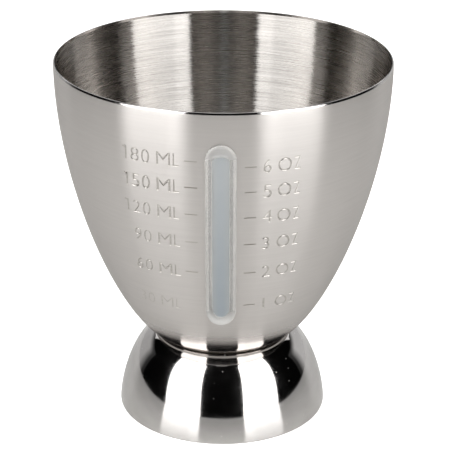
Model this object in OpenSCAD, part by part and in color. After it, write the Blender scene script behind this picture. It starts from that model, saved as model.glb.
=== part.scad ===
// Double jigger: a drawn steel measuring bowl, brazed onto a small open cup that is also its foot.
// A clear sight strip, held in a rubber grommet, shows the fill level through the bowl's front wall.
// Millimetres. +Z is up, the table is z = 0 and the sight strip faces -Y.

/* [Overall] */
// Height from the table to the bowl's rim
overall_h = 90; // [82:0.5:100]
// Height of the brazed seam above the table
waist_h = 20; // [17:0.5:24]
// Sheet thickness of both cups
wall = 1; // [0.8:0.1:1.3]
// Rounding along both open edges
edge_r = 0.3; // [0.1:0.05:0.35]

/* [Brazed waist] */
// Diameter of the flats that the two cups meet on
seat_d = 31.7; // [28:0.1:35]
// Thickness of the filler between those flats
braze_t = 0.4; // [0.2:0.05:0.6]
// How far the filler stands out past the flats
braze_bead = 0.45; // [0.2:0.05:0.6]

/* [Measuring bowl] */
// Outside diameter at the rim
rim_d = 80.4; // [72:0.2:90]
// Bend radius where the floor turns into the side
bowl_bend_r = 2.8; // [2.2:0.1:4]
// Slope of the side, from level, where it leaves the bend
bowl_flare = 37.8; // [30:0.2:46]
// How long the side keeps that slope before it curves upright
bowl_pull_low = 12.4; // [8:0.2:17]
// How far down from the rim the side stays close to upright
bowl_pull_high = 28.7; // [20:0.2:36]

/* [Foot cup] */
// Outside diameter at the lip it stands on
foot_d = 51.6; // [46:0.2:58]
// Bend radius where the crown turns into the side
foot_bend_r = 2.8; // [2.2:0.1:4]
// Slope of the side, from level, where it leaves the bend
foot_flare = 35; // [28:0.2:42]
// How long the side keeps that slope before it curves upright
foot_pull_high = 7.9; // [5:0.1:9]
// How far up from the lip the side stays close to upright
foot_pull_low = 2.8; // [1.5:0.1:5]

/* [Sight strip] */
// Gap from the rim down to the grommet
grommet_drop = 7.6; // [5:0.1:12]
// Gap from the seam up to the grommet
grommet_rise = 12.5; // [10:0.1:18]
// How far the grommet's lips lap over the steel
lip_lap = 0.6; // [0.4:0.05:1]
// Thickness of each lip, outside and inside the bowl
lip_t = 0.6; // [0.4:0.05:0.9]
// Rubber between the slot's edge in the steel and the pane in sight
web_t = 0.7; // [0.55:0.05:1]
// Width of pane left in sight
sight_w = 3.9; // [3:0.1:5]
// Distance from each end of the grommet to the pane in sight
sight_end = 2.9; // [2.2:0.1:4]
// Corner rounding of the pane in sight
sight_corner_r = 1.3; // [0.8:0.1:1.4]
// Thickness of the pane
pane_t = 0.8; // [0.6:0.05:1]
// How far the pane's edges go into the grommet's groove
groove_d = 0.35; // [0.2:0.05:0.4]
// Clearance left around the grommet and the pane
fit_gap = 0.03; // [0.01:0.01:0.06]

/* [Graduations] */
// Millilitres from one mark to the next on the left
ml_step = 30; // [20:1:40]
// Number of marks on the left
ml_marks = 6; // [3:1:8]
// Millilitres below the lowest mark on the right
oz_first = 31; // [25:0.1:35]
// Millilitres from one mark to the next on the right
oz_step = 28.6; // [25:0.1:32]
// Number of marks on the right
oz_marks = 6; // [3:1:8]
// Distance from the strip's middle to the near end of a mark
mark_in = 5.3; // [4.6:0.1:8]
// Length of a mark
mark_l = 2.6; // [1.5:0.1:4]
// Width of a mark's groove
mark_w = 0.35; // [0.2:0.05:0.6]
// Depth of a mark's groove
mark_depth = 0.15; // [0.05:0.05:0.25]

/* [Hidden] */

round_fn = 96;
bend_n = 5;
side_n = 18;
edge_n = 4;
cubic_mm_per_ml = 1000;

bowl_floor = waist_h + braze_t / 2;
foot_crown = waist_h - braze_t / 2;
bowl_h = overall_h - bowl_floor;
reach = rim_d;

grommet_top = overall_h - grommet_drop;
grommet_low = waist_h + grommet_rise;
slot_half = sight_w / 2 + web_t;
lip_half = slot_half + lip_lap;

// Curves of one cup, measured from its seat: [radius, height, slope], first the bend, then the side.
function bend_line(bend_r, flare) =
    [for (i = [0:bend_n]) let (a = flare * i / bend_n)
        [seat_d / 2 + bend_r * sin(a), bend_r * (1 - cos(a)), a]];

function side_line(start, flare, finish, pull_seat, pull_mouth) =
    let (near = start + pull_seat * [cos(flare), sin(flare)], far = finish - [0, pull_mouth])
    [for (i = [1:side_n]) let (
            t = i / side_n,
            u = 1 - t,
            p = pow(u, 3) * start + 3 * u * u * t * near + 3 * u * t * t * far + pow(t, 3) * finish,
            v = u * u * (near - start) + 2 * u * t * (far - near) + t * t * (finish - far))
        [p[0], p[1], atan2(v[1], v[0])]];

function cup_line(bend_r, flare, mouth_r, h, pull_seat, pull_mouth) =
    let (bend = bend_line(bend_r, flare), last = bend[bend_n])
    concat(bend, side_line([last[0], last[1]], flare, [mouth_r, h - edge_r], pull_seat, pull_mouth));

// The same curve moved outwards by d, square to itself.
function pushed(line, d) = [for (p = line) [p[0] + d * sin(p[2]), p[1] - d * cos(p[2])]];

function turned(list) = [for (i = [len(list) - 1:-1:0]) list[i]];

function edge_line(mouth_r, h) = concat(
    [for (i = [1:edge_n]) let (a = 90 * i / edge_n)
        [mouth_r - edge_r + edge_r * cos(a), h - edge_r + edge_r * sin(a)]],
    [for (i = [0:edge_n - 1]) let (a = 90 + 90 * i / edge_n)
        [mouth_r - wall + edge_r + edge_r * cos(a), h - edge_r + edge_r * sin(a)]]);

function cup_section(line, mouth_r, h) = concat(
    [[0, 0]], pushed(line, 0), edge_line(mouth_r, h), turned(pushed(line, -wall)), [[0, wall]]);

bowl_line = cup_line(bowl_bend_r, bowl_flare, rim_d / 2, bowl_h, bowl_pull_low, bowl_pull_high);
foot_line = cup_line(foot_bend_r, foot_flare, foot_d / 2, foot_crown, foot_pull_high, foot_pull_low);
bowl_side = [for (i = [bend_n:len(bowl_line) - 1]) bowl_line[i]];

// Fill level for a volume, from slices of the bowl's inside.
bowl_inside = pushed(bowl_line, -wall);
function slice(a, b) = PI * (b[1] - a[1]) * (a[0] * a[0] + a[0] * b[0] + b[0] * b[0]) / 3;
function fill(i) = i == 0 ? 0 : fill(i - 1) + slice(bowl_inside[i - 1], bowl_inside[i]) / cubic_mm_per_ml;
fill_table = [for (i = [0:len(bowl_inside) - 1]) [fill(i), bowl_inside[i][1]]];
function level(ml) = bowl_floor + lookup(ml, fill_table);

ml_levels = [for (i = [1:ml_marks]) level(ml_step * i)];
oz_levels = [for (i = [1:oz_marks]) level(oz_first + oz_step * (i - 1))];

// Layer that follows the bowl's side, from d0 to d1 off its outer face.
module side_layer(d0, d1) {
    translate([0, 0, bowl_floor])
        rotate_extrude($fn = round_fn)
            polygon(concat(pushed(bowl_side, d1), turned(pushed(bowl_side, d0))));
}

// Round-ended block through the front wall.
module slot_block(half, low, top) {
    translate([-half, -reach, low + half])
        cube([2 * half, reach, top - low - 2 * half]);
    for (z = [low + half, top - half])
        translate([0, 0, z])
            rotate([90, 0, 0])
                cylinder(r = half, h = reach, $fn = round_fn);
}

// Block of the pane in sight, larger by grow all round.
module sight_block(grow) {
    half = sight_w / 2 + grow;
    low = grommet_low + sight_end - grow;
    top = grommet_top - sight_end + grow;
    r = sight_corner_r + grow;
    translate([-half, -reach, low + r])
        cube([2 * half, reach, top - low - 2 * r]);
    translate([r - half, -reach, low])
        cube([2 * (half - r), reach, top - low]);
    for (x = [r - half, half - r], z = [low + r, top - r])
        translate([x, 0, z])
            rotate([90, 0, 0])
                cylinder(r = r, h = reach, $fn = round_fn);
}

module slot(inset) {
    slot_block(lip_half - inset, grommet_low + inset, grommet_top - inset);
}

module pane_layer(grow) {
    side_layer(-(wall + pane_t) / 2 - grow, -(wall - pane_t) / 2 + grow);
}

module marks(levels, x) {
    intersection() {
        side_layer(-mark_depth, mark_depth);
        for (z = levels)
            if (z < grommet_top)
                translate([x, -reach, z - mark_w / 2])
                    cube([mark_l, reach, mark_w]);
    }
}

module measuring_bowl() {
    color([0.72, 0.71, 0.69])
        difference() {
            translate([0, 0, bowl_floor])
                rotate_extrude($fn = round_fn)
                    polygon(cup_section(bowl_line, rim_d / 2, bowl_h));
            slot(lip_lap);
            marks(ml_levels, -mark_in - mark_l);
            marks(oz_levels, mark_in);
        }
}

module foot_cup() {
    color([0.8, 0.8, 0.8])
        rotate_extrude($fn = round_fn)
            polygon([for (p = cup_section(foot_line, foot_d / 2, foot_crown)) [p[0], foot_crown - p[1]]]);
}

module waist_braze() {
    color([0.85, 0.83, 0.78])
        translate([0, 0, foot_crown])
            cylinder(d = seat_d + 2 * braze_bead, h = braze_t, $fn = round_fn);
}

module window_gasket() {
    color([0.86, 0.87, 0.86])
        difference() {
            intersection() {
                side_layer(-(wall + fit_gap + lip_t), fit_gap + lip_t);
                slot(0);
            }
            difference() {
                side_layer(-wall - fit_gap, fit_gap);
                slot(lip_lap + fit_gap);
            }
            sight_block(0);
            intersection() {
                pane_layer(fit_gap);
                sight_block(groove_d + fit_gap);
            }
        }
}

module window_pane() {
    color([0.66, 0.7, 0.72])
        intersection() {
            pane_layer(0);
            sight_block(groove_d);
        }
}

measuring_bowl();
foot_cup();
waist_braze();
window_gasket();
window_pane();
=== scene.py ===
import math

import bpy
from mathutils import Euler, Matrix, Vector


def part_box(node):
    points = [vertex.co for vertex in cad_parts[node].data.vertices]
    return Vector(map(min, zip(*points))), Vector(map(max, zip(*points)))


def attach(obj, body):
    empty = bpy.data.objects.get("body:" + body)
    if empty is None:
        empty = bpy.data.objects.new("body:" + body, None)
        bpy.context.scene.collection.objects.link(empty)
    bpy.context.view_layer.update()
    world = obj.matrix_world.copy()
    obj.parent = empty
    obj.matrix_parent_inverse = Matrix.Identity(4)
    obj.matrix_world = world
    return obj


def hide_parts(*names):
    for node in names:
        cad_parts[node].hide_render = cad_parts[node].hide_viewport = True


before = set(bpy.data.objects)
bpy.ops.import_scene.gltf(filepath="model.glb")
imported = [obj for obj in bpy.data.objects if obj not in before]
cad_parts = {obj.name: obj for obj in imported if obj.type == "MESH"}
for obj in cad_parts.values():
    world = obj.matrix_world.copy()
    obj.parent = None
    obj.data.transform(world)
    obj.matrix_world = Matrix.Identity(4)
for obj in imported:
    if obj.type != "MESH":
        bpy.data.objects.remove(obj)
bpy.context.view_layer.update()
mm = 0.001
full = 2 * math.pi
mergeGap = 0.002 * mm
slack = 0.01 * mm  # how far off its place a vertex may be when it is picked
smoothAngle = math.radians(20)


def linearColor(hexText):
    channels = [int(hexText[i:i + 2], 16) / 255 for i in (1, 3, 5)]
    return [c / 12.92 if c <= 0.04045 else ((c + 0.055) / 1.055) ** 2.4 for c in channels] + [1.0]


def addNode(tree, kind, settings=None, links=None):
    # a number names a socket by its place: 6 and 7 are the two colours of a colour Mix
    node = tree.nodes.new(kind)
    for name, value in (settings or {}).items():
        if isinstance(name, int) or name in node.inputs:
            node.inputs[name].default_value = value
        else:
            setattr(node, name, value)
    for name, source in (links or {}).items():
        tree.links.new(source, node.inputs[name])
    return node


def newMaterial(name):
    material = bpy.data.materials.new(name)
    material.use_nodes = True
    tree = material.node_tree
    tree.nodes.clear()
    return material, tree


def deselectAll():
    if bpy.context.mode != "OBJECT":
        bpy.ops.object.mode_set(mode="OBJECT")
    bpy.ops.object.select_all(action="DESELECT")


def pick(piece):
    deselectAll()
    piece.select_set(True)
    bpy.context.view_layer.objects.active = piece


def editAll(piece):
    pick(piece)
    bpy.ops.object.mode_set(mode="EDIT")
    bpy.ops.mesh.select_all(action="SELECT")


def selectVertices(piece, wanted):
    # leaves edit mode to set the selection by place, then goes back in
    bpy.ops.mesh.select_all(action="DESELECT")
    bpy.ops.mesh.select_mode(type="VERT")
    bpy.ops.object.mode_set(mode="OBJECT")
    for v in piece.data.vertices:
        v.select = wanted(v.co)
    bpy.ops.object.mode_set(mode="EDIT")


def applyModifier(piece, kind, settings):
    pick(piece)
    modifier = piece.modifiers.new(kind.title(), kind)
    for name, value in settings.items():
        setattr(modifier, name, value)
    bpy.ops.object.modifier_apply(modifier=modifier.name)


def joinPieces(pieces, name):
    deselectAll()
    for p in pieces:
        p.select_set(True)
    bpy.context.view_layer.objects.active = pieces[0]
    bpy.ops.object.join()
    pieces[0].name = name
    pieces[0].data.name = name
    return pieces[0]


def deletePieces(pieces):
    deselectAll()
    for p in pieces:
        p.select_set(True)
    bpy.ops.object.delete()


# the two cups share one kind of outline: flat seat, round bend, then a side that curves upright
bowl = {
    "seatRadius": 15.85 * mm,
    "bendRadius": 2.8 * mm,
    "flare": math.radians(37.8),
    "pullSeat": 12.4 * mm,
    "pullMouth": 28.7 * mm,
    "wall": 1.0 * mm,
    "mouthWall": 0.42 * mm,
    "thinFrom": 14 * mm,
    "edgeWide": 0.36 * mm,
    "edgeTall": 0.6 * mm,
    "polishedRim": 0.45 * mm,
    "bendSteps": 10,
    "sideSteps": 90,
    "edgeSteps": 6,
    "around": 288,
}
foot = {
    "seatRadius": 15.85 * mm,
    "bendRadius": 2.8 * mm,
    "flare": math.radians(35),
    "pullSeat": 7.9 * mm,
    "pullMouth": 2.8 * mm,
    "wall": 1.0 * mm,
    "mouthWall": 0.7 * mm,
    "thinFrom": 4 * mm,
    "edgeWide": 0.3 * mm,
    "edgeTall": 0.3 * mm,
    "bendSteps": 12,
    "sideSteps": 48,
    "edgeSteps": 5,
    "around": 288,
}

bowlLow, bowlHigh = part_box("measuring_bowl")
bowlFloor, rimHeight, rimRadius = bowlLow[2], bowlHigh[2], bowlHigh[0]
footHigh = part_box("foot_cup")[1]
footCrown, footRadius = footHigh[2], footHigh[0]


def cupCurve(cup, mouthRadius, height):
    # radius, height over the seat and slope of the outer face, from the seat to below the edge
    curve = []
    for i in range(cup["bendSteps"] + 1):
        slope = cup["flare"] * i / cup["bendSteps"]
        curve.append((cup["seatRadius"] + cup["bendRadius"] * math.sin(slope),
                      cup["bendRadius"] * (1 - math.cos(slope)), slope))
    start = Vector(curve[-1][:2])
    near = start + cup["pullSeat"] * Vector((math.cos(cup["flare"]), math.sin(cup["flare"])))
    finish = Vector((mouthRadius, height - cup["edgeTall"]))
    far = finish - Vector((0, cup["pullMouth"]))
    for i in range(1, cup["sideSteps"] + 1):
        t = i / cup["sideSteps"]
        u = 1 - t
        p = u ** 3 * start + 3 * u * u * t * near + 3 * u * t * t * far + t ** 3 * finish
        run = u * u * (near - start) + 2 * u * t * (far - near) + t * t * (finish - far)
        curve.append((p.x, p.y, math.atan2(run.y, run.x)))
    return curve


def pushed(curve, d):
    # the same curve, a distance d square out from it
    return [(r + d * math.sin(a), h - d * math.cos(a)) for r, h, a in curve]


def cupSection(cup, curve, mouthRadius, height):
    # closed half section: outer face, rounded edge, inner face whose wall thins near the mouth
    section = [(0, 0)] + pushed(curve, 0)
    for i in range(1, cup["edgeSteps"] + 1):
        a = math.pi / 2 * i / cup["edgeSteps"]
        section.append((mouthRadius - cup["edgeWide"] * (1 - math.cos(a)),
                        height - cup["edgeTall"] * (1 - math.sin(a))))
    section.append((mouthRadius - cup["mouthWall"], height))
    for point in curve[::-1]:
        near = max(0, 1 - (height - point[1]) / cup["thinFrom"])
        thick = cup["wall"] + (cup["mouthWall"] - cup["wall"]) * near * near
        section += pushed([point], -thick)
    return section + [(0, cup["wall"])]


def spinSection(name, points, around):
    # a profile is pulled out point by point from one vertex, then spun round the upright axis
    deselectAll()
    bpy.ops.mesh.primitive_circle_add(vertices=3, radius=mm)
    piece = bpy.context.object
    piece.name = name
    piece.data.name = name
    bpy.ops.object.mode_set(mode="EDIT")
    bpy.ops.mesh.select_all(action="SELECT")
    bpy.ops.mesh.merge(type="CENTER")
    bpy.ops.transform.translate(value=points[0])
    for a, b in zip(points, points[1:]):
        bpy.ops.mesh.extrude_region_move(TRANSFORM_OT_translate={"value": b - a})
    bpy.ops.mesh.select_all(action="SELECT")
    bpy.ops.mesh.spin(steps=around, angle=full, center=(0, 0, 0), axis=(0, 0, 1))
    bpy.ops.mesh.select_all(action="SELECT")
    bpy.ops.mesh.remove_doubles(threshold=mergeGap)
    bpy.ops.mesh.normals_make_consistent(inside=False)
    bpy.ops.object.mode_set(mode="OBJECT")
    return piece


bowlCurve = cupCurve(bowl, rimRadius, rimHeight - bowlFloor)
footCurve = cupCurve(foot, footRadius, footCrown)


def sideAt(z):
    # radius and slope of the bowl's outer face at a height
    h = z - bowlFloor
    for a, b in zip(bowlCurve, bowlCurve[1:]):
        if a[1] <= h <= b[1]:
            t = (h - a[1]) / (b[1] - a[1])
            return a[0] + t * (b[0] - a[0]), a[2] + t * (b[2] - a[2])
    return bowlCurve[-1][0], bowlCurve[-1][2]


def wrapOnBowl(piece):
    # a flat piece stands at y = 0 with -Y outwards: x goes round the bowl, y goes square to its face
    for v in piece.data.vertices:
        x, y, z = v.co
        r, slope = sideAt(z)
        turn = x / r
        r -= y * math.sin(slope)
        v.co = (r * math.sin(turn), -r * math.cos(turn), z + y * math.cos(slope))
    piece.data.update()


def fillLevel(millilitres):
    # height of the liquid, summed slice by slice from the bowl's floor
    inside = pushed(bowlCurve, -bowl["wall"])
    left = millilitres * (10 * mm) ** 3
    for (r0, h0), (r1, h1) in zip(inside, inside[1:]):
        part = math.pi * (h1 - h0) * (r0 * r0 + r0 * r1 + r1 * r1) / 3
        if part > left:
            return bowlFloor + h0 + (h1 - h0) * left / part
        left -= part
    return rimHeight


print("bowl: spinning the drawn steel")
section = cupSection(bowl, bowlCurve, rimRadius, rimHeight - bowlFloor)
section = [Vector((r, 0, bowlFloor + h)) for r, h in section]
measuringBowl = spinSection("measuringBowl", section, bowl["around"])

print("foot: spinning the small cup")
section = cupSection(foot, footCurve, footRadius, footCrown)
section = [Vector((r, 0, footCrown - h)) for r, h in section]
footCup = spinSection("footCup", section, foot["around"])

# filler drawn into the seam, where it shows as a thin dark line, partly through its dark colour, which is painted
# shade
braze = {"recess": 0.3 * mm, "bulge": 0.12 * mm, "steps": 5, "around": 192}
brazeLow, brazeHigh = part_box("waist_braze")
seamHalf = (brazeHigh[2] - brazeLow[2]) / 2
seamMiddle = (brazeHigh[2] + brazeLow[2]) / 2
seamRadius = bowl["seatRadius"] - braze["recess"]
print("braze: rounding the seam")
section = [Vector((0, 0, brazeLow[2]))]
for i in range(braze["steps"] + 1):
    a = -math.pi / 2 + math.pi * i / braze["steps"]
    section.append(Vector((seamRadius - braze["bulge"] + braze["bulge"] * math.cos(a), 0,
                           seamMiddle + seamHalf * math.sin(a))))
section.append(Vector((0, 0, brazeHigh[2])))
waistBraze = spinSection("waistBraze", section, braze["around"])

# sight strip: a ring with lips outside and inside the wall, and the pane in its middle
window = {
    # heights on the bowl's face, a little inside the CAD box of the proud lip
    "low": 33.05 * mm,
    "top": 82.7 * mm,
    "sightHalf": 1.85 * mm,
    "sightEnd": 2.8 * mm,
    # round ends against a half circle: flatter above, longer below
    "topShare": 0.62,
    "lowShare": 1.45,
    "webThick": 0.9 * mm,
    "webSink": 0.2 * mm,
    "webStep": 0.04 * mm,
    "lipLap": 0.7 * mm,
    "lipThick": 0.6 * mm,
    "lipRound": 0.52 * mm,
    "lipSegments": 4,
    "lipAngle": math.radians(50),
    "paneFront": -0.5 * mm,
    "paneBack": 0.9 * mm,
    "paneBite": 0.15 * mm,
    "gap": 0.03 * mm,
    "around": 56,
    "rowStep": 1.0 * mm,
}
slotHalf = window["sightHalf"] + window["webThick"]
lipHalf = slotHalf + window["lipLap"]


def flatPill(name, half, low, top):
    # round-ended face, upright at y = 0: a disc whose upper half is moved up and lower half down
    deselectAll()
    bpy.ops.mesh.primitive_circle_add(vertices=window["around"], radius=half, fill_type="NGON",
                                      rotation=(math.pi / 2, 0, 0))
    piece = bpy.context.object
    piece.name = name
    bpy.ops.object.transform_apply(location=True, rotation=True, scale=True)
    middle, stretch = (low + top) / 2, (top - low) / 2 - half
    bpy.ops.object.mode_set(mode="EDIT")
    for side in (1, -1):
        selectVertices(piece, lambda co: co.z * side > slack)
        bpy.ops.transform.translate(value=(0, 0, side * stretch))
    bpy.ops.mesh.select_all(action="SELECT")
    bpy.ops.transform.translate(value=(0, 0, middle))
    bpy.ops.object.mode_set(mode="OBJECT")
    return piece


def stretchLow(piece, half, low):
    # the outline's lower end is made longer; its tip stays
    editAll(piece)
    centre = low + half
    selectVertices(piece, lambda co: co.z < centre + slack
                   and math.hypot(co.x, co.z - centre) > half - 2 * slack)
    bpy.ops.transform.resize(value=(1, 1, window["lowShare"]), center_override=(0, 0, low))
    bpy.ops.object.mode_set(mode="OBJECT")


def cutRows(piece, low, top):
    # level cuts, so that the piece can follow the bowl's curve
    editAll(piece)
    rows = int((top - low) / window["rowStep"])
    for i in range(1, rows):
        bpy.ops.mesh.select_all(action="SELECT")
        bpy.ops.mesh.bisect(plane_co=(0, 0, low + (top - low) * i / rows), plane_no=(0, 0, 1))
    bpy.ops.object.mode_set(mode="OBJECT")


def sightRing(name, half, grow):
    # pill with the sight opening taken out of it
    low, top = window["low"] + lipHalf - half, window["top"] - lipHalf + half
    piece = flatPill(name, half, low, top)
    opening = window["sightHalf"] + grow
    editAll(piece)
    bpy.ops.mesh.inset(thickness=half - opening)
    shift = window["sightEnd"] - lipHalf + window["sightHalf"]
    for side, end, share in ((1, top, window["topShare"]), (-1, low, window["lowShare"])):
        arcCentre = end - side * half
        selectVertices(piece, lambda co: (co.z - arcCentre) * side > slack
                       and math.hypot(co.x, co.z - arcCentre) < opening + 2 * slack)
        bpy.ops.transform.resize(value=(1, 1, share), center_override=(0, 0, arcCentre))
        lift = side * (window["sightHalf"] * (1 - share) - shift)
        bpy.ops.transform.translate(value=(0, 0, lift))
    bpy.ops.mesh.select_mode(type="FACE")
    bpy.ops.mesh.select_all(action="DESELECT")
    bpy.ops.object.mode_set(mode="OBJECT")
    sightFace = max(piece.data.polygons, key=lambda p: len(p.vertices))
    sightFace.select = True
    bpy.ops.object.mode_set(mode="EDIT")
    bpy.ops.mesh.delete(type="FACE")
    stretchLow(piece, half, low)
    return piece, low, top


def thicken(piece, near, far, rounding):
    # from distance near to far behind the bowl's face, edges rounded
    editAll(piece)
    bpy.ops.mesh.normals_make_consistent(inside=False)
    bpy.ops.mesh.extrude_region_move(TRANSFORM_OT_translate={"value": (0, far - near, 0)})
    bpy.ops.mesh.select_all(action="SELECT")
    bpy.ops.transform.translate(value=(0, near, 0))
    bpy.ops.mesh.normals_make_consistent(inside=False)
    bpy.ops.object.mode_set(mode="OBJECT")
    if rounding:
        applyModifier(piece, "BEVEL", {"width": rounding, "segments": window["lipSegments"],
                                       "limit_method": "ANGLE", "angle_limit": window["lipAngle"]})


print("gasket: lips and web")
wall, gap = bowl["wall"], window["gap"]
sink, lipThick, lipRound = window["webSink"], window["lipThick"], window["lipRound"]
rings = []
for name, half, grow, near, far, rounding in (
        ("windowGasket", lipHalf, 0, -gap - lipThick, -gap, lipRound),
        ("web", slotHalf - gap, window["webStep"], -gap - sink, wall + gap + sink, 0),
        ("innerLip", lipHalf, 0, wall + gap, wall + gap + lipThick, lipRound)):
    ring, low, top = sightRing(name, half, grow)
    cutRows(ring, low, top)
    thicken(ring, near, far, rounding)
    wrapOnBowl(ring)
    rings.append(ring)
windowGasket = rings[0]
windowGasket.data.name = "windowGasket"
for ring in rings[1:]:
    applyModifier(windowGasket, "BOOLEAN", {"operation": "UNION", "solver": "MANIFOLD", "object": ring})
deletePieces(rings[1:])

print("pane: clear strip")
paneHalf = window["sightHalf"] + window["paneBite"]
paneLow = window["low"] + window["sightEnd"] - window["paneBite"]
paneTop = window["top"] - window["sightEnd"] + window["paneBite"]
windowPane = flatPill("windowPane", paneHalf, paneLow, paneTop)
editAll(windowPane)
for side, end, share in ((1, paneTop, window["topShare"]), (-1, paneLow, window["lowShare"])):
    arcCentre = end - side * paneHalf
    selectVertices(windowPane, lambda co: (co.z - arcCentre) * side > slack)
    bpy.ops.transform.resize(value=(1, 1, share), center_override=(0, 0, arcCentre))
    bpy.ops.transform.translate(value=(0, 0, side * paneHalf * (1 - share)))
bpy.ops.object.mode_set(mode="OBJECT")
cutRows(windowPane, paneLow, paneTop)
thicken(windowPane, window["paneFront"], window["paneBack"], 0)
wrapOnBowl(windowPane)

# slot and engraving are cut from the bowl with wrapped cutters
marks = {
    # both scales are placed by volume in millilitres
    "mlStep": 30,
    "mlMarks": 6,
    "ozFirst": 31,
    "ozStep": 28.6,
    "ozMarks": 6,
    "mlInner": 5.25 * mm,
    "mlLength": 2.9 * mm,
    "ozInner": 5.25 * mm,
    "ozLength": 2.7 * mm,
    "barWide": 0.26 * mm,
    "textSize": 4.8 * mm,
    "capHeight": 3.3 * mm,
    "curveSteps": 6,
    "mlText": 9.3 * mm,
    "ozText": 9.45 * mm,
    "ozWord": 12.85 * mm,
    # letter widths against the font's own, and extra room beside a letter
    "widths": {"M": 1.08, "L": 0.74, "O": 0.93, "Z": 0.5, "0": 0.96, "5": 1.1, "6": 0.92, "8": 1.05, "9": 0.95},
    "spare": {"1": 0.4 * mm},
    "letterGap": 0.6 * mm,
    "wordGap": 1.65 * mm,
    "groove": 0.16 * mm,
    "grooveDepth": 0.8,
    "tickDepth": 0.22 * mm,
    "flag": 0.75 * mm,
    "flagOut": 0.25 * mm,
    "flagDepth": 0.12 * mm,
    "flagTilt": math.radians(22),
    # the stamp struck unevenly: the lowest ML row barely marks the steel
    "mlStrike": (0.3, 0.72, 0.64, 0.7, 0.97, 0.78),
    "ozStrike": 0.84,
}


def engravedLetter(letter):
    # a letter with 45 degree sides all round, so cutting it leaves a groove
    deselectAll()
    bpy.ops.object.text_add(rotation=(math.pi / 2, 0, 0))
    piece = bpy.context.object
    piece.data.body = letter
    piece.data.size = marks["textSize"]
    piece.data.offset = -marks["groove"]
    piece.data.bevel_depth = marks["groove"]
    piece.data.bevel_resolution = 0
    piece.data.resolution_u = marks["curveSteps"]
    bpy.ops.object.convert(target="MESH")
    piece.scale = (marks["widths"].get(letter, 1), 1, marks["grooveDepth"])
    bpy.ops.object.transform_apply(location=True, rotation=True, scale=True)
    editAll(piece)
    bpy.ops.mesh.remove_doubles(threshold=mergeGap)
    bpy.ops.mesh.normals_make_consistent(inside=False)
    bpy.ops.object.mode_set(mode="OBJECT")
    return piece


def grooveBar(length, depth, tilt=0):
    # square bar laid into the steel
    deselectAll()
    bpy.ops.mesh.primitive_cube_add(size=1, rotation=(0, tilt, 0))
    bpy.context.object.scale = (length, 2 * depth, marks["barWide"])
    bpy.ops.object.transform_apply(location=True, rotation=True, scale=True)
    return bpy.context.object


def slide(piece, move):
    editAll(piece)
    bpy.ops.transform.translate(value=move)
    bpy.ops.object.mode_set(mode="OBJECT")


def engravedRow(text, level, side, start, strike):
    # letters are set one after another from the strip outwards, then the row's tick
    pieces = []
    used = start
    for letter in (text if side > 0 else text[::-1]):
        if letter == " ":
            # the unit always starts at one place on the OZ side
            used = marks["ozWord"] if side > 0 else used + marks["wordGap"] - marks["letterGap"]
            continue
        used += marks["spare"].get(letter, 0)
        piece = engravedLetter(letter)
        low = min(v.co.x for v in piece.data.vertices)
        high = max(v.co.x for v in piece.data.vertices)
        slide(piece, (used - low if side > 0 else -used - high, 0, level - marks["capHeight"] / 2))
        pieces.append(piece)
        used += high - low
        if letter == "1" and side < 0:
            flag = grooveBar(marks["flag"], marks["flagDepth"], marks["flagTilt"])
            slide(flag, (-used - marks["flagOut"], 0, level + marks["capHeight"] / 2 - marks["barWide"]))
            pieces.append(flag)
        used += marks["letterGap"]
    unit = "oz" if side > 0 else "ml"
    inner, length = marks[unit + "Inner"], marks[unit + "Length"]
    # a weak strike leaves a fainter tick and a shallower row
    tick = grooveBar(length, marks["tickDepth"] * strike ** 2)
    slide(tick, (side * (inner + length / 2), 0, level))
    row = joinPieces(pieces + [tick], text)
    slide(row, (0, (strike - 1) * marks["groove"] * marks["grooveDepth"], 0))
    return row


print("marks: shaping the slot and the scale")
cutters = []
for i, strike in enumerate(marks["mlStrike"][:marks["mlMarks"]]):
    volume = marks["mlStep"] * (i + 1)
    cutters.append(engravedRow("%d ML" % volume, fillLevel(volume), -1, marks["mlText"], strike))
for i in range(marks["ozMarks"]):
    level = fillLevel(marks["ozFirst"] + marks["ozStep"] * i)
    cutters.append(engravedRow("%d OZ" % (i + 1), level, 1, marks["ozText"], marks["ozStrike"]))
engraving = joinPieces(cutters, "engraving")
wrapOnBowl(engraving)
slotLow, slotTop = window["low"] + window["lipLap"], window["top"] - window["lipLap"]
slotCutter = flatPill("slotCutter", slotHalf, slotLow, slotTop)
stretchLow(slotCutter, slotHalf, slotLow)
cutRows(slotCutter, slotLow, slotTop)
thicken(slotCutter, -wall, 2 * wall, 0)
wrapOnBowl(slotCutter)

# satin stainless steel, belt finished round the bowl: fine level lines that stretch highlights up and down,
# polished towards the waist
satin = {
    "color": "#C8C4C1", "dark": "#C4C0BD", "rough": 0.34, "brushing": 0.5675,
    "haze": 0.29, "hazeRough": 0.8, "polished": 0.06, "fade": (21.0 * mm, 30.5 * mm),
    "lineMm": 0.45, "lineLong": 16, "lineRough": 0.015, "leanUp": 0.01, "leanRound": 0.004,
}
# the bowl's inside is brushed with coarser grit, which spreads light up and down but hardly sideways;
# its lines are too fine to show and are drawn a third of a millimetre apart, and the floor is coloured darker,
# painted shade deep in the bowl
brushed = {
    "color": "#CECAC6", "dark": "#B9B5B1", "rough": 0.27, "brushing": 0.81,
    "floor": "#8F8B87", "floorShadeFade": (44.0 * mm, 62.0 * mm),
    "lineMm": 0.3, "lineLong": 16, "lineRough": 0.02, "leanUp": 0.07, "leanRound": 0.02,
}
# stamped grooves: the same steel, torn dull by the tool and coloured darker, painted shade in the grooves
shadedGroove = {
    "color": "#BDB9B4", "dark": "#A8A49F", "rough": 0.34,
    "lineMm": 0.3, "lineLong": 3, "lineRough": 0.03, "leanUp": 0.02, "leanRound": 0.02,
}
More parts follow.
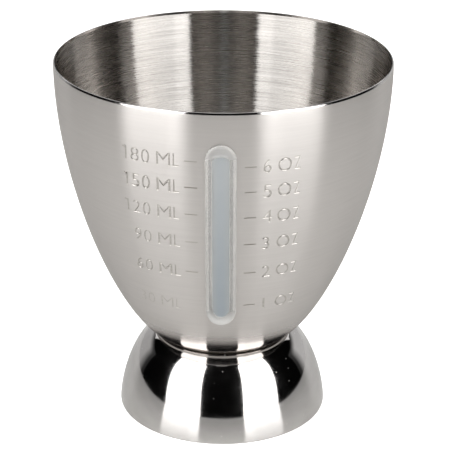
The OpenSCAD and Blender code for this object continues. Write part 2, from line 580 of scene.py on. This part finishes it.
# mirror polish, faintly uneven from wiping, with a tiny dull nick here and there
polished = {
    "color": "#CDCAC8", "dark": "#C6C3C1", "rough": 0.075,
    "nickMm": 0.16, "nickApartMm": 2.2, "nickRough": 0.35,
    "lineMm": 3.0, "lineLong": 5, "lineRough": 0.02, "leanUp": 0.0, "leanRound": 0.0,
}
# silver brazing filler, dulled by heat and coloured dark, partly painted shade in the seam
filler = {
    "color": "#77726A", "dark": "#5F5B54", "rough": 0.4,
    "lineMm": 0.5, "lineLong": 5, "lineRough": 0.04, "leanUp": 0.03, "leanRound": 0.03,
}
# the noise all steels share; most of it lies between low and high
grain = {"detail": 2.0, "rough": 0.6, "low": 0.3, "high": 0.7}


def steelMaterial(name, steel):
    material, tree = newMaterial(name)
    spot = addNode(tree, "ShaderNodeTexCoord").outputs["Object"]
    height = addNode(tree, "ShaderNodeSeparateXYZ", {}, {"Vector": spot}).outputs["Z"]
    around = addNode(tree, "ShaderNodeTangent", {"direction_type": "RADIAL", "axis": "Z"}).outputs["Tangent"]
    along, across = 1 / (steel["lineLong"] * mm), 1 / (steel["lineMm"] * mm)
    stretch = addNode(tree, "ShaderNodeMapping", {"Scale": (along, along, across)}, {"Vector": spot})
    lines = addNode(tree, "ShaderNodeTexNoise",
                    {"Scale": 1.0, "Detail": grain["detail"], "Roughness": grain["rough"]},
                    {"Vector": stretch.outputs["Vector"]})
    rough = addNode(tree, "ShaderNodeMapRange",
                    {"From Min": grain["low"], "From Max": grain["high"],
                     "To Min": steel["rough"] - steel["lineRough"], "To Max": steel["rough"] + steel["lineRough"]},
                    {"Value": lines.outputs["Fac"]}).outputs["Result"]
    if "nickMm" in steel:
        nicks = addNode(tree, "ShaderNodeTexVoronoi", {"Scale": 1 / (steel["nickApartMm"] * mm)}, {"Vector": spot})
        nickSize = steel["nickMm"] / steel["nickApartMm"]
        nicks = addNode(tree, "ShaderNodeMapRange",
                        {"From Min": nickSize, "From Max": nickSize / 2, "To Max": steel["nickRough"]},
                        {"Value": nicks.outputs["Distance"]})
        rough = addNode(tree, "ShaderNodeMath", {"operation": "ADD"},
                        {0: rough, 1: nicks.outputs["Result"]}).outputs["Value"]
    shade = addNode(tree, "ShaderNodeMapRange", {"From Min": grain["low"], "From Max": grain["high"]},
                    {"Value": lines.outputs["Fac"]})
    color = addNode(tree, "ShaderNodeMix",
                    {"data_type": "RGBA", 6: linearColor(steel["dark"]), 7: linearColor(steel["color"])},
                    {0: shade.outputs["Result"]}).outputs[2]
    # painted shade: the inside's colour darkens towards its floor
    if "floor" in steel:
        start, end = steel["floorShadeFade"]
        reach = addNode(tree, "ShaderNodeMapRange", {"From Min": start, "From Max": end}, {"Value": height})
        color = addNode(tree, "ShaderNodeMix", {"data_type": "RGBA", 6: linearColor(steel["floor"])},
                        {0: reach.outputs["Result"], 7: color}).outputs[2]
    # each line leans the surface a little up or down and a little round
    lean = Vector((steel["leanRound"], 0, steel["leanUp"]))
    leans = addNode(tree, "ShaderNodeVectorMath", {"operation": "MULTIPLY_ADD", 1: 2 * lean, 2: -lean},
                    {0: lines.outputs["Color"]})
    leans = addNode(tree, "ShaderNodeSeparateXYZ", {}, {"Vector": leans.outputs["Vector"]})
    sideways = addNode(tree, "ShaderNodeVectorMath", {"operation": "SCALE"},
                       {0: around, "Scale": leans.outputs["X"]})
    upwards = addNode(tree, "ShaderNodeCombineXYZ", {}, {"Z": leans.outputs["Z"]})
    normal = addNode(tree, "ShaderNodeNewGeometry").outputs["Normal"]
    for turn in (sideways, upwards):
        normal = addNode(tree, "ShaderNodeVectorMath", {"operation": "ADD"},
                         {0: normal, 1: turn.outputs["Vector"]}).outputs["Vector"]
    normal = addNode(tree, "ShaderNodeVectorMath", {"operation": "NORMALIZE"}, {0: normal}).outputs["Vector"]
    if "fade" in steel:
        # polished below, satin above
        start, end = steel["fade"]
        satinShare = addNode(tree, "ShaderNodeMapRange",
                             {"interpolation_type": "SMOOTHSTEP", "From Min": start, "From Max": end},
                             {"Value": height}).outputs["Result"]
        rough = addNode(tree, "ShaderNodeMix", {"data_type": "FLOAT", "A": steel["polished"]},
                        {"Factor": satinShare, "B": rough}).outputs["Result"]
    if "brushing" in steel:
        shader = addNode(tree, "ShaderNodeBsdfAnisotropic",
                         {"distribution": "BECKMANN", "Anisotropy": steel["brushing"]},
                         {"Color": color, "Roughness": rough, "Tangent": around, "Normal": normal}).outputs["BSDF"]
    else:
        shader = addNode(tree, "ShaderNodeBsdfPrincipled", {"Metallic": 1.0},
                         {"Base Color": color, "Roughness": rough, "Normal": normal}).outputs["BSDF"]
    if "fade" in steel:
        # a part of the satin scatters light widely
        broad = addNode(tree, "ShaderNodeBsdfPrincipled", {"Metallic": 1.0, "Roughness": steel["hazeRough"]},
                        {"Base Color": color})
        haze = addNode(tree, "ShaderNodeMath", {"operation": "MULTIPLY", 1: steel["haze"]}, {0: satinShare})
        shader = addNode(tree, "ShaderNodeMixShader", {},
                         {0: haze.outputs["Value"], 1: shader, 2: broad.outputs["BSDF"]}).outputs["Shader"]
    addNode(tree, "ShaderNodeOutputMaterial", {}, {"Surface": shader})
    return material


print("materials: steels, silicone and plastic")
satinSteel = steelMaterial("satinSteel", satin)
brushedSteel = steelMaterial("brushedSteel", brushed)
shadedGrooveSteel = steelMaterial("shadedGrooveSteel", shadedGroove)
polishedSteel = steelMaterial("polishedSteel", polished)
brazeFiller = steelMaterial("brazeFiller", filler)

# clear silicone, faintly milky: the steel behind shows through and the round edges catch light;
# the ends let less light through and turn whiter, a painted highlight
silicone = {
    "color": "#F4F2EF", "dark": "#EAEAE9", "cloudMm": 3, "cloudDetail": 2.0, "rough": (0.06, 0.1), "ior": 1.41,
    "clear": 0.73,
    # painted highlight: less transmission whitens the strip's ends
    "ends": ((window["low"] + 0.6 * mm, window["low"] + 4.4 * mm, 0.51),
             (window["top"] - 0.6 * mm, window["top"] - 4.0 * mm, 0.71)),
}
clearSilicone, tree = newMaterial("clearSilicone")
spot = addNode(tree, "ShaderNodeTexCoord").outputs["Object"]
height = addNode(tree, "ShaderNodeSeparateXYZ", {}, {"Vector": spot}).outputs["Z"]
cloud = addNode(tree, "ShaderNodeTexNoise",
                {"Scale": 1 / (silicone["cloudMm"] * mm), "Detail": silicone["cloudDetail"]}, {"Vector": spot})
rough = addNode(tree, "ShaderNodeMapRange", {"To Min": silicone["rough"][0], "To Max": silicone["rough"][1]},
                {"Value": cloud.outputs["Fac"]})
color = addNode(tree, "ShaderNodeMix",
                {"data_type": "RGBA", 6: linearColor(silicone["dark"]), 7: linearColor(silicone["color"])},
                {0: cloud.outputs["Fac"]})
# painted highlight: the ends turn whiter as transmission falls towards them
clearness = []
for start, end, milky in silicone["ends"]:
    fade = addNode(tree, "ShaderNodeMapRange",
                   {"From Min": start, "From Max": end, "To Min": milky, "To Max": silicone["clear"]},
                   {"Value": height})
    clearness.append(fade.outputs["Result"])
clearness = addNode(tree, "ShaderNodeMath", {"operation": "MINIMUM"}, {0: clearness[0], 1: clearness[1]})
shader = addNode(tree, "ShaderNodeBsdfPrincipled", {"IOR": silicone["ior"]},
                 {"Base Color": color.outputs[2], "Roughness": rough.outputs["Result"],
                  "Transmission Weight": clearness.outputs["Value"]})
addNode(tree, "ShaderNodeOutputMaterial", {}, {"Surface": shader.outputs["BSDF"]})

# clear moulded plastic with a hazy skin; its colour turns darker and cooler downwards, painted shade, and pales
# towards its long edges, painted light
plastic = {
    "low": "#ACB7C0", "high": "#C2C7CA", "cloudMm": 4, "cloudDetail": 2.0, "cloud": 0.3,
    "edge": "#C9CBC8", "edgeShare": 0.55, "edgeFade": (0.5 * mm, 1.85 * mm),
    "rough": (0.28, 0.32), "ior": 1.49, "clear": 0.5,
}
clearPlastic, tree = newMaterial("clearPlastic")
spot = addNode(tree, "ShaderNodeTexCoord").outputs["Object"]
parts = addNode(tree, "ShaderNodeSeparateXYZ", {}, {"Vector": spot})
cloud = addNode(tree, "ShaderNodeTexNoise",
                {"Scale": 1 / (plastic["cloudMm"] * mm), "Detail": plastic["cloudDetail"]}, {"Vector": spot})
rough = addNode(tree, "ShaderNodeMapRange", {"To Min": plastic["rough"][0], "To Max": plastic["rough"][1]},
                {"Value": cloud.outputs["Fac"]})
# painted shade: darker and bluer towards the bottom
height = addNode(tree, "ShaderNodeMapRange", {"From Min": window["low"], "From Max": window["top"]},
                 {"Value": parts.outputs["Z"]})
tint = addNode(tree, "ShaderNodeMath", {"operation": "MULTIPLY_ADD", 1: plastic["cloud"]},
               {0: cloud.outputs["Fac"], 2: height.outputs["Result"]})
color = addNode(tree, "ShaderNodeMix",
                {"data_type": "RGBA", 6: linearColor(plastic["low"]), 7: linearColor(plastic["high"])},
                {0: tint.outputs["Value"]})
# painted light: paler towards the long edges, over the shade beside the ring
offMiddle = addNode(tree, "ShaderNodeMath", {"operation": "ABSOLUTE"}, {0: parts.outputs["X"]})
start, end = plastic["edgeFade"]
pale = addNode(tree, "ShaderNodeMapRange", {"From Min": start, "From Max": end, "To Max": plastic["edgeShare"]},
               {"Value": offMiddle.outputs["Value"]})
color = addNode(tree, "ShaderNodeMix", {"data_type": "RGBA", 7: linearColor(plastic["edge"])},
                {0: pale.outputs["Result"], 6: color.outputs[2]})
shader = addNode(tree, "ShaderNodeBsdfPrincipled", {"IOR": plastic["ior"], "Transmission Weight": plastic["clear"]},
                 {"Base Color": color.outputs[2], "Roughness": rough.outputs["Result"]})
addNode(tree, "ShaderNodeOutputMaterial", {}, {"Surface": shader.outputs["BSDF"]})


def paintFaces(piece, material, wanted):
    editAll(piece)
    bpy.ops.mesh.select_mode(type="FACE")
    bpy.ops.mesh.select_all(action="DESELECT")
    bpy.ops.object.mode_set(mode="OBJECT")
    for p in piece.data.polygons:
        p.select = wanted(p.center)
    bpy.ops.object.mode_set(mode="EDIT")
    piece.active_material_index = piece.data.materials.find(material.name)
    bpy.ops.object.material_slot_assign()
    bpy.ops.object.mode_set(mode="OBJECT")


def insideBowl(co):
    return math.hypot(co.x, co.y) < sideAt(co.z)[0] - wall / 2 and co.z > bowlFloor + wall / 2


print("bowl: finishes, then the slot and the scale are cut")
for steel in (satinSteel, brushedSteel, polishedSteel):
    measuringBowl.data.materials.append(steel)
# the grooves take the darker steel: painted shade
engraving.data.materials.append(shadedGrooveSteel)
slotCutter.data.materials.append(polishedSteel)
paintFaces(measuringBowl, brushedSteel, insideBowl)
paintFaces(measuringBowl, polishedSteel, lambda co: co.z > rimHeight - bowl["polishedRim"])
for cutter in (engraving, slotCutter):
    applyModifier(measuringBowl, "BOOLEAN", {"operation": "DIFFERENCE", "solver": "MANIFOLD", "object": cutter,
                                             "material_mode": "TRANSFER"})
deletePieces((engraving, slotCutter))

for piece, material in ((footCup, polishedSteel), (waistBraze, brazeFiller),
                        (windowGasket, clearSilicone), (windowPane, clearPlastic)):
    piece.data.materials.clear()
    piece.data.materials.append(material)

for piece, node, slot in ((measuringBowl, "measuring_bowl", "satin_steel"),
                          (footCup, "foot_cup", "polished_steel"),
                          (waistBraze, "waist_braze", "braze_filler"),
                          (windowGasket, "window_gasket", "clear_silicone"),
                          (windowPane, "window_pane", "clear_plastic")):
    pick(piece)
    bpy.ops.object.shade_smooth_by_angle(angle=smoothAngle)
    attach(piece, "root")
    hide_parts(node)

# stage in metres and degrees: a pale glossy table, a board curved round behind whose glow shows only in the steel,
# and a black tent, open high at the rear
tableLook = {"radius": 0.75, "around": 96, "color": "#DDDDDB", "rough": 0.18, "glow": 0.85, "mirror": 0.06}
boardLook = {
    "radius": 1.6, "around": 96, "low": -0.1, "top": 0.7, "from": 106,
    "color": "#121212", "rough": 0.6, "glow": 0.0, "mirror": 0.63,
    # the glow grows towards the back, dies out at the top and is a little weaker to the left
    "fade": {"Y": (0.62, 0.92), "Z": (0.66, 0.46), "X": (-9.0, 1.2)},
}
tentLook = {"radius": 6.0, "segments": 64, "rings": 32, "openFrom": 140, "openAbove": 2.0, "color": "#121212"}


def glowBoard(name, look):
    # glow is what the camera sees, mirror is what steel and glass see
    material, tree = newMaterial(name)
    path = addNode(tree, "ShaderNodeLightPath")
    mirrored = addNode(tree, "ShaderNodeMath", {"operation": "MAXIMUM"},
                       {0: path.outputs["Is Glossy Ray"], 1: path.outputs["Is Transmission Ray"]})
    mirrored = addNode(tree, "ShaderNodeMath", {"operation": "MULTIPLY", 1: look["mirror"]},
                       {0: mirrored.outputs["Value"]})
    if "fade" in look:
        spot = addNode(tree, "ShaderNodeTexCoord").outputs["Object"]
        parts = addNode(tree, "ShaderNodeSeparateXYZ", {}, {"Vector": spot})
        for axis, (start, end) in look["fade"].items():
            share = addNode(tree, "ShaderNodeMapRange", {"From Min": start, "From Max": end},
                            {"Value": parts.outputs[axis]})
            mirrored = addNode(tree, "ShaderNodeMath", {"operation": "MULTIPLY"},
                               {0: mirrored.outputs["Value"], 1: share.outputs["Result"]})
    glowing = addNode(tree, "ShaderNodeMath", {"operation": "MULTIPLY_ADD", 1: look["glow"]},
                      {0: path.outputs["Is Camera Ray"], 2: mirrored.outputs["Value"]})
    shader = addNode(tree, "ShaderNodeBsdfPrincipled",
                     {"Base Color": linearColor(look["color"]), "Roughness": look["rough"],
                      "Emission Color": (1, 1, 1, 1)},
                     {"Emission Strength": glowing.outputs["Value"]})
    addNode(tree, "ShaderNodeOutputMaterial", {}, {"Surface": shader.outputs["BSDF"]})
    return material


def bearing(co):
    # degrees round from the front, either way
    return abs(math.degrees(math.atan2(co.x, -co.y)))


print("stage: table, board, tent and soft boxes")
deselectAll()
bpy.ops.mesh.primitive_circle_add(vertices=tableLook["around"], radius=tableLook["radius"], fill_type="NGON")
table = bpy.context.object
table.name = "table"
table.data.materials.append(glowBoard("paleTable", tableLook))

deselectAll()
bpy.ops.mesh.primitive_cylinder_add(vertices=boardLook["around"], radius=boardLook["radius"],
                                    depth=boardLook["top"] - boardLook["low"], end_fill_type="NOTHING",
                                    location=(0, 0, (boardLook["top"] + boardLook["low"]) / 2))
board = bpy.context.object
board.name = "board"
bpy.ops.object.transform_apply(location=True, rotation=True, scale=True)
editAll(board)
selectVertices(board, lambda co: bearing(co) < boardLook["from"])
bpy.ops.mesh.delete(type="VERT")
bpy.ops.object.mode_set(mode="OBJECT")
board.data.materials.append(glowBoard("greyBoard", boardLook))
board.visible_camera = False

blackCloth, tree = newMaterial("blackCloth")
shader = addNode(tree, "ShaderNodeBsdfDiffuse", {"Color": linearColor(tentLook["color"])})
addNode(tree, "ShaderNodeOutputMaterial", {}, {"Surface": shader.outputs["BSDF"]})
deselectAll()
bpy.ops.mesh.primitive_uv_sphere_add(segments=tentLook["segments"], ring_count=tentLook["rings"],
                                     radius=tentLook["radius"])
tent = bpy.context.object
tent.name = "tent"
editAll(tent)
selectVertices(tent, lambda co: bearing(co) > tentLook["openFrom"] and co.z > tentLook["openAbove"])
bpy.ops.mesh.delete(type="VERT")
bpy.ops.object.mode_set(mode="OBJECT")
tent.data.materials.append(blackCloth)
tent.visible_camera = False
tent.visible_transmission = False

# two tall soft boxes, each of two panels side by side, the one farther forward a little brighter;
# a side is -1 or 1 and its swing in degrees, a half is its place across the box and its radiance
boxes = {
    "spot": (1.172, -1.418, 1.53), "wide": 2.59, "tall": 3.9,
    "turn": math.radians(96.5), "lean": math.radians(15.9),
    "sides": ((-1, 0.0), (1, 1.0)), "halves": ((-0.25, 4.15), (0.25, 3.5)),
}
for side, swing in boxes["sides"]:
    swing = math.radians(swing)
    x, y, z = boxes["spot"]
    middle = Matrix.Rotation(swing, 3, "Z") @ Vector((side * x, y, z))
    turned = Euler((math.pi / 2, side * boxes["lean"], side * boxes["turn"] + swing))
    for place, radiance in boxes["halves"]:
        across = turned.to_matrix() @ Vector((side * place * boxes["wide"], 0, 0))
        bpy.ops.object.light_add(type="AREA", location=middle + across, rotation=turned)
        softBox = bpy.context.object
        softBox.data.shape = "RECTANGLE"
        softBox.data.size = boxes["wide"] / 2
        softBox.data.size_y = boxes["tall"]
        softBox.data.energy = radiance * math.pi * boxes["wide"] / 2 * boxes["tall"]
        softBox.visible_camera = False

# plain white room, seen past the table and through the tent's opening
world = bpy.data.worlds.new("whiteRoom")
bpy.context.scene.world = world
world.use_nodes = True
tree = world.node_tree
tree.nodes.clear()
back = addNode(tree, "ShaderNodeBackground", {"Color": (1, 1, 1, 1), "Strength": 1.0})
addNode(tree, "ShaderNodeOutputWorld", {}, {"Surface": back.outputs["Background"]})

# camera as fitted to the outline: a long lens, well above the rim and a touch right of the strip
shot = {
    "distance": 404.8 * mm, "height": 218.1 * mm,
    "aside": math.radians(0.7), "pitch": math.radians(22.92), "roll": math.radians(0.26),
    "axisPixel": 222.6, "focalPixels": 1788.8, "imagePixels": 450, "sensor": 36.0, "nearClip": 0.01,
}
print("camera: set to the fitted view")
turn = shot["aside"] - math.atan((shot["imagePixels"] / 2 - shot["axisPixel"]) / shot["focalPixels"])
bpy.ops.object.camera_add(location=(shot["distance"] * math.sin(shot["aside"]),
                                    -shot["distance"] * math.cos(shot["aside"]), shot["height"]))
camera = bpy.context.object
camera.rotation_euler = (Matrix.Rotation(turn, 3, "Z") @ Matrix.Rotation(math.pi / 2 - shot["pitch"], 3, "X")
                         @ Matrix.Rotation(shot["roll"], 3, "Z")).to_euler()
camera.data.sensor_width = shot["sensor"]
camera.data.lens = shot["focalPixels"] / shot["imagePixels"] * shot["sensor"]
camera.data.clip_start = shot["nearClip"]
bpy.context.scene.camera = camera
bpy.context.scene.view_settings.view_transform = "Standard"
